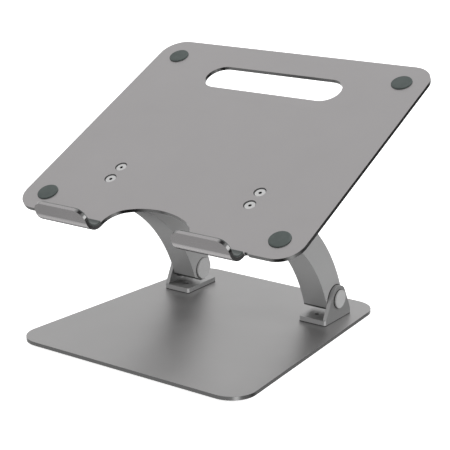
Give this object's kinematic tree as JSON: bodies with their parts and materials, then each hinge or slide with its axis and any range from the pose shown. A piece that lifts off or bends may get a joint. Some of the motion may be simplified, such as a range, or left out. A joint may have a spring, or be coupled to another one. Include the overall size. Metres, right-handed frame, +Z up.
{
  "type": "laptop stand",
  "caption": "Foldable aluminium laptop stand: tilting tray with two front hooks, rubber pads and a hand slot, on curved hinged arms over a flat base plate.",
  "frame": {"origin": "middle of the overall box, on the desk surface under the rubber feet", "axes": "+X to the user's right along the tray's front edge, +Y to the back, +Z up"},
  "size_m": [0.26, 0.239, 0.2044],
  "materials": {
    "plate_anodised": "bead-blasted, satin grey anodised sheet",
    "arm_anodised": "satin grey anodised bar",
    "bracket_anodised": "satin grey anodised, machined",
    "rubber_feet": "matte dark grey rubber",
    "rubber_pads": "matte dark green-grey rubber",
    "screw_steel": "satin nickel-plated steel",
    "pin_steel": "satin steel"
  },
  "bodies": {
    "base": {"base_plate": "plate_anodised", "base_feet": "rubber_feet", "left_base_bracket": "bracket_anodised", "right_base_bracket": "bracket_anodised", "base_bracket_screws": "screw_steel", "lower_pins": "pin_steel", "lower_pin_caps": "pin_steel"},
    "left_arm": {"left_arm": "arm_anodised"},
    "right_arm": {"right_arm": "arm_anodised"},
    "upper_pin_set": {"upper_pins": "pin_steel", "upper_pin_caps": "pin_steel"},
    "tray": {"tray": "plate_anodised", "tray_pads": "rubber_pads", "tray_screws": "screw_steel", "left_tray_bracket": "bracket_anodised", "right_tray_bracket": "bracket_anodised", "left_hook_liner": "rubber_pads", "right_hook_liner": "rubber_pads"}
  },
  "joints": [
    {"name": "left_arm_hinge", "type": "hinge", "parent": "base", "child": "left_arm", "pos_m": [-0.066, 0.05813, 0.0227], "axis": [1, 0, 0], "range_deg": [-30, 28]},
    {"name": "right_arm_hinge", "type": "hinge", "parent": "base", "child": "right_arm", "pos_m": [0.066, 0.05813, 0.0227], "axis": [1, 0, 0], "range_deg": [-30, 28]},
    {"name": "upper_pin_hinge", "type": "hinge", "parent": "left_arm", "child": "upper_pin_set", "pos_m": [-0.066, -0.03231, 0.1078], "axis": [1, 0, 0], "range_deg": [-28, 30]},
    {"name": "tray_tilt", "type": "hinge", "parent": "upper_pin_set", "child": "tray", "pos_m": [0, -0.03231, 0.1078], "axis": [1, 0, 0], "range_deg": [-26, 12]}
  ],
  "couplings": [
    {"joint": "right_arm_hinge", "follows": "left_arm_hinge", "ratio": 1},
    {"joint": "upper_pin_hinge", "follows": "left_arm_hinge", "ratio": -1}
  ]
}
